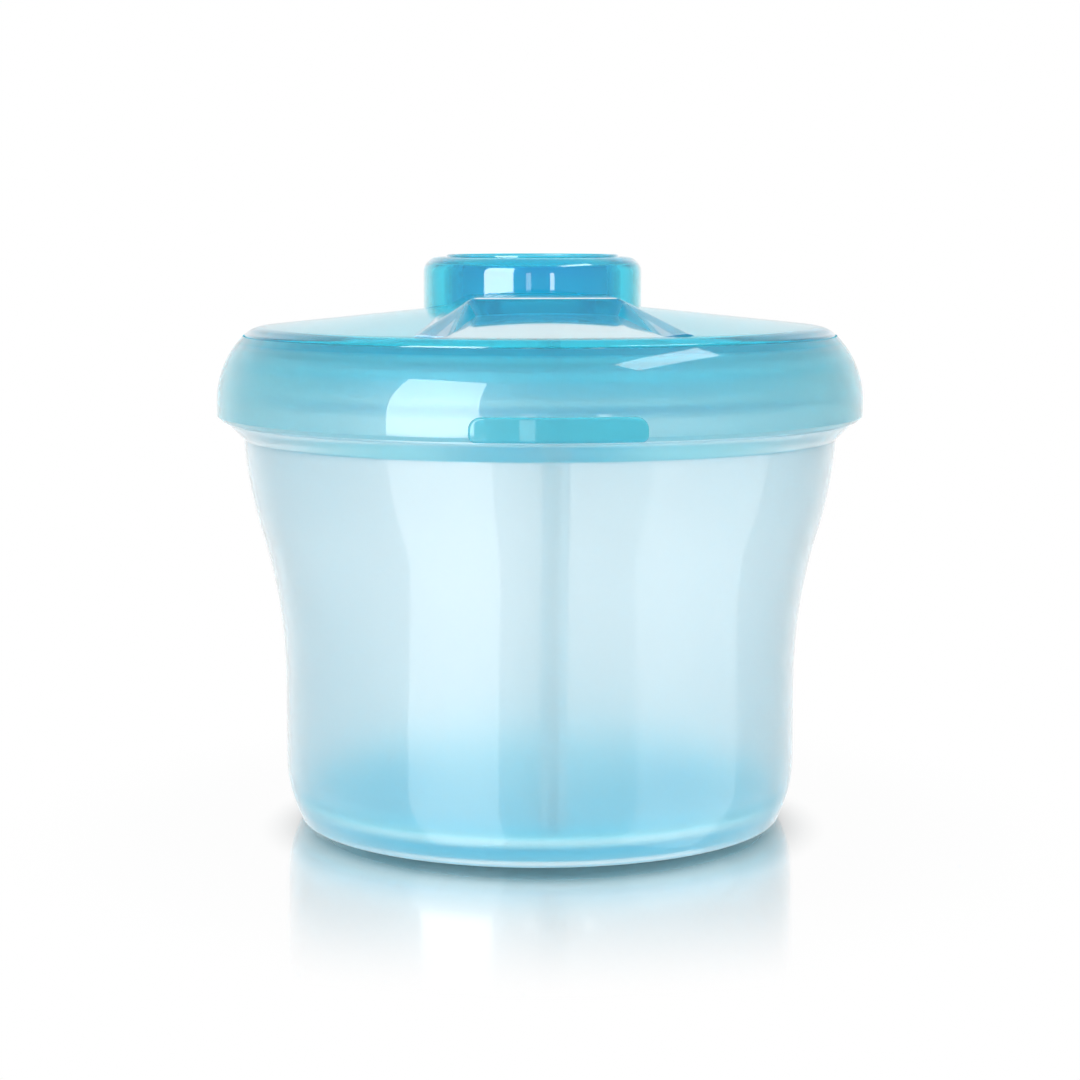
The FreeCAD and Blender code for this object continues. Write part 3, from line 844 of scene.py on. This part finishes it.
arm = block("arm", (-arm_half, hinge_y, arm_z),
            (arm_half, cap_y - cap_radius + cap_wall, arm_z + arm_thickness))
soften(arm, 0.15 * mm, 2)
shape(spout_cap, arm, "UNION")
shape(spout_cap, rod("knuckle", knuckle_radius, arm_half), "UNION")
shape(spout_cap, rod("pins", pin_radius, arm_half + pin_length), "UNION")
smooth(spout_cap, 20)
cap_plastic = clear_plastic(
    "deep turquoise cap", tint=(0.40, 0.90, 0.98, 1),
    stronger_tint=(0.24, 0.88, 0.98, 1), thick=steep,
    deep_tint=(0.05, 0.965, 0.99, 1), density=240, outer_roughness=0.05, inner_roughness=0.3,
    axis_y=cap_y)
dress(spout_cap, cap_plastic)
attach(spout_cap, "spout_cap")
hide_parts("spout_cap")

# ---- Floor ----
# The dispenser stands on a polished white studio table top with no edge in view. Close to the
# foot its colour is a painted dark teal shadow, which takes the real shadow too, with a soft
# mirror image over it, and farther out it turns plain white.
floor_size = 8.0
shadow_middle_y = -8 * mm
shadow_squeeze = 1.06
shadow_start, shadow_end = 36 * mm, 50 * mm
mirror_start, mirror_full = 32 * mm, 46 * mm
mirror_fade, mirror_end = 50 * mm, 100 * mm
mirror_at_foot, mirror_rise = 0.2, 0.38
mirror_roughness = 0.09
# Painted shadow colour near the foot, tinted teal as light through the plastic would tint it.
shadow_tone = (0.14, 0.24, 0.27, 1)
plain_white = (1, 1, 1, 1)
bpy.ops.object.select_all(action="DESELECT")
bpy.ops.mesh.primitive_plane_add(size=floor_size, location=(0, 0, 0))
studio_floor = bpy.context.object
studio_floor.name = "studio_floor"
material, wire = new_finish("white table top")
place = wire.node("TexCoord", out=3)
shifted = wire.node("VectorMath", {"operation": "SUBTRACT"}, {0: place, 1: (0, shadow_middle_y, 0)})
squeezed = wire.node("VectorMath", {"operation": "MULTIPLY"}, {0: shifted, 1: (shadow_squeeze, 1, 0)})
from_middle = wire.node("VectorMath", {"operation": "LENGTH"}, {0: squeezed}, 1)
through_ray = wire.node("LightPath", out=6)
# Painted shadow: the dark teal colour near the foot, fading out to the plain white floor.
painted_shadow = wire.node("BsdfDiffuse", sockets={"Color": shadow_tone})
white = wire.node("Emission", sockets={"Color": plain_white, "Strength": 1.0})
open_floor = from_middle.between(shadow_start, shadow_end)
shaded = wire.node("MixShader", sockets={0: open_floor, 1: painted_shadow, 2: white})
mirror = wire.node("BsdfGlossy", sockets={"Color": plain_white, "Roughness": mirror_roughness})
shine = mirror_at_foot + mirror_rise * from_middle.between(mirror_start, mirror_full)
shine = shine * (1 - from_middle.between(mirror_fade, mirror_end))
polished = wire.node("MixShader", sockets={0: shine, 1: shaded, 2: mirror})
surface = wire.node("MixShader", sockets={0: through_ray, 1: polished, 2: white})
wire.node("OutputMaterial", sockets={"Surface": surface}, out=None)
dress(studio_floor, material)
studio_floor.visible_glossy = False

# ---- Light ----
# The dispenser stands in a white room, which the eye and rays through the plastic see at full
# white. Reflections see the front of the room dimmer, so that the plastic keeps its colour.
# Soft boxes give the highlights, and one large box overhead lights the table.
world = bpy.data.worlds.new("studio")
bpy.context.scene.world = world
world.use_nodes = True
world.node_tree.nodes.clear()
wire = Wire(world.node_tree)
camera_ray = wire.node("LightPath", out=0)
glossy_ray = wire.node("LightPath", out=3)
through_ray = wire.node("LightPath", out=6)
plain_level = 0.7  # what the light from the room itself adds
front_level = 0.5  # what reflections see in front and above
back_level = 0.97  # what they see behind and below
around = wire.node("TexCoord", out=0)
behind = wire.node("SeparateXYZ", sockets={"Vector": around}, out=1).between(0.55, 0.95)
below = 1 - wire.node("SeparateXYZ", sockets={"Vector": around}, out=2).between(-0.6, -0.2)
backdrop = wire.math("MAXIMUM", behind, below)
seen = wire.math("MAXIMUM", camera_ray, through_ray)
level = plain_level + (1 - plain_level) * seen
level = level + glossy_ray * (front_level + (back_level - front_level) * backdrop - level)
sky = wire.node("Background", sockets={"Color": plain_white, "Strength": level})
wire.node("OutputWorld", sockets={"Surface": sky}, out=None)

box_distance = 0.8
high_box = 0.5  # a box above this height leans down at the foot of the dispenser


def soft_box(name, azimuth, height, width, tall, level, distance=box_distance, lights_floor=False):
    """A rectangular lamp that faces the object. Azimuth is degrees from the front, to the right."""
    turn = math.radians(azimuth)
    lamp = bpy.data.lights.new(name, "AREA")
    lamp.shape = "RECTANGLE"
    lamp.size = width
    lamp.size_y = tall
    lamp.energy = level * math.pi * width * tall
    box = bpy.data.objects.new(name, lamp)
    bpy.context.scene.collection.objects.link(box)
    place = Vector((math.sin(turn) * distance, -math.cos(turn) * distance, height))
    target = Vector((0, 0, height if height < high_box else 0))
    box.location = place
    box.rotation_euler = (target - place).to_track_quat("-Z", "Y").to_euler()
    box.visible_camera = False
    box.visible_transmission = False
    box.visible_diffuse = lights_floor
    box.visible_glossy = not lights_floor


soft_box("left_box", -39.2, 0.36, width=0.46, tall=0.71, level=7.2)
soft_box("left_low", -41, -0.45, width=0.6, tall=0.9, level=1.6)
soft_box("right_strip", 18, 0.09, width=0.06, tall=0.1, level=6.0)
soft_box("right_low", 66, -0.47, width=0.8, tall=0.85, level=1.0)
soft_box("high_right", 66, 0.70, width=0.45, tall=0.13, level=6.0, distance=0.42)
soft_box("front_glint", -7, 0.06, width=0.07, tall=0.18, level=2.5)
soft_box("overhead", 180, 1.2, width=0.9, tall=0.9, level=3.4, distance=0.05, lights_floor=True)

# ---- Camera ----
# A long lens stands a little above the lid and left of the middle, and looks slightly down.
# The clear plastic needs many bounces, and sharp caustics are off because they only add grain.
look_from = (-0.0226, -0.4313, 0.0983)
look_down = 6.92
look_right = 3.0
focal_length = 87.3
film_width = 36
camera_data = bpy.data.cameras.new("camera")
camera_data.lens = focal_length
camera_data.sensor_width = film_width
camera = bpy.data.objects.new("camera", camera_data)
bpy.context.scene.collection.objects.link(camera)
camera.location = look_from
camera.rotation_euler = (math.radians(90 - look_down), 0, math.radians(-look_right))
bpy.context.scene.camera = camera
bpy.context.scene.view_settings.view_transform = "Standard"
tracing = bpy.context.scene.cycles
tracing.max_bounces = 32
tracing.transmission_bounces = 32
tracing.glossy_bounces = 24
tracing.caustics_refractive = False
tracing.caustics_reflective = False
tracing.blur_glossy = 0
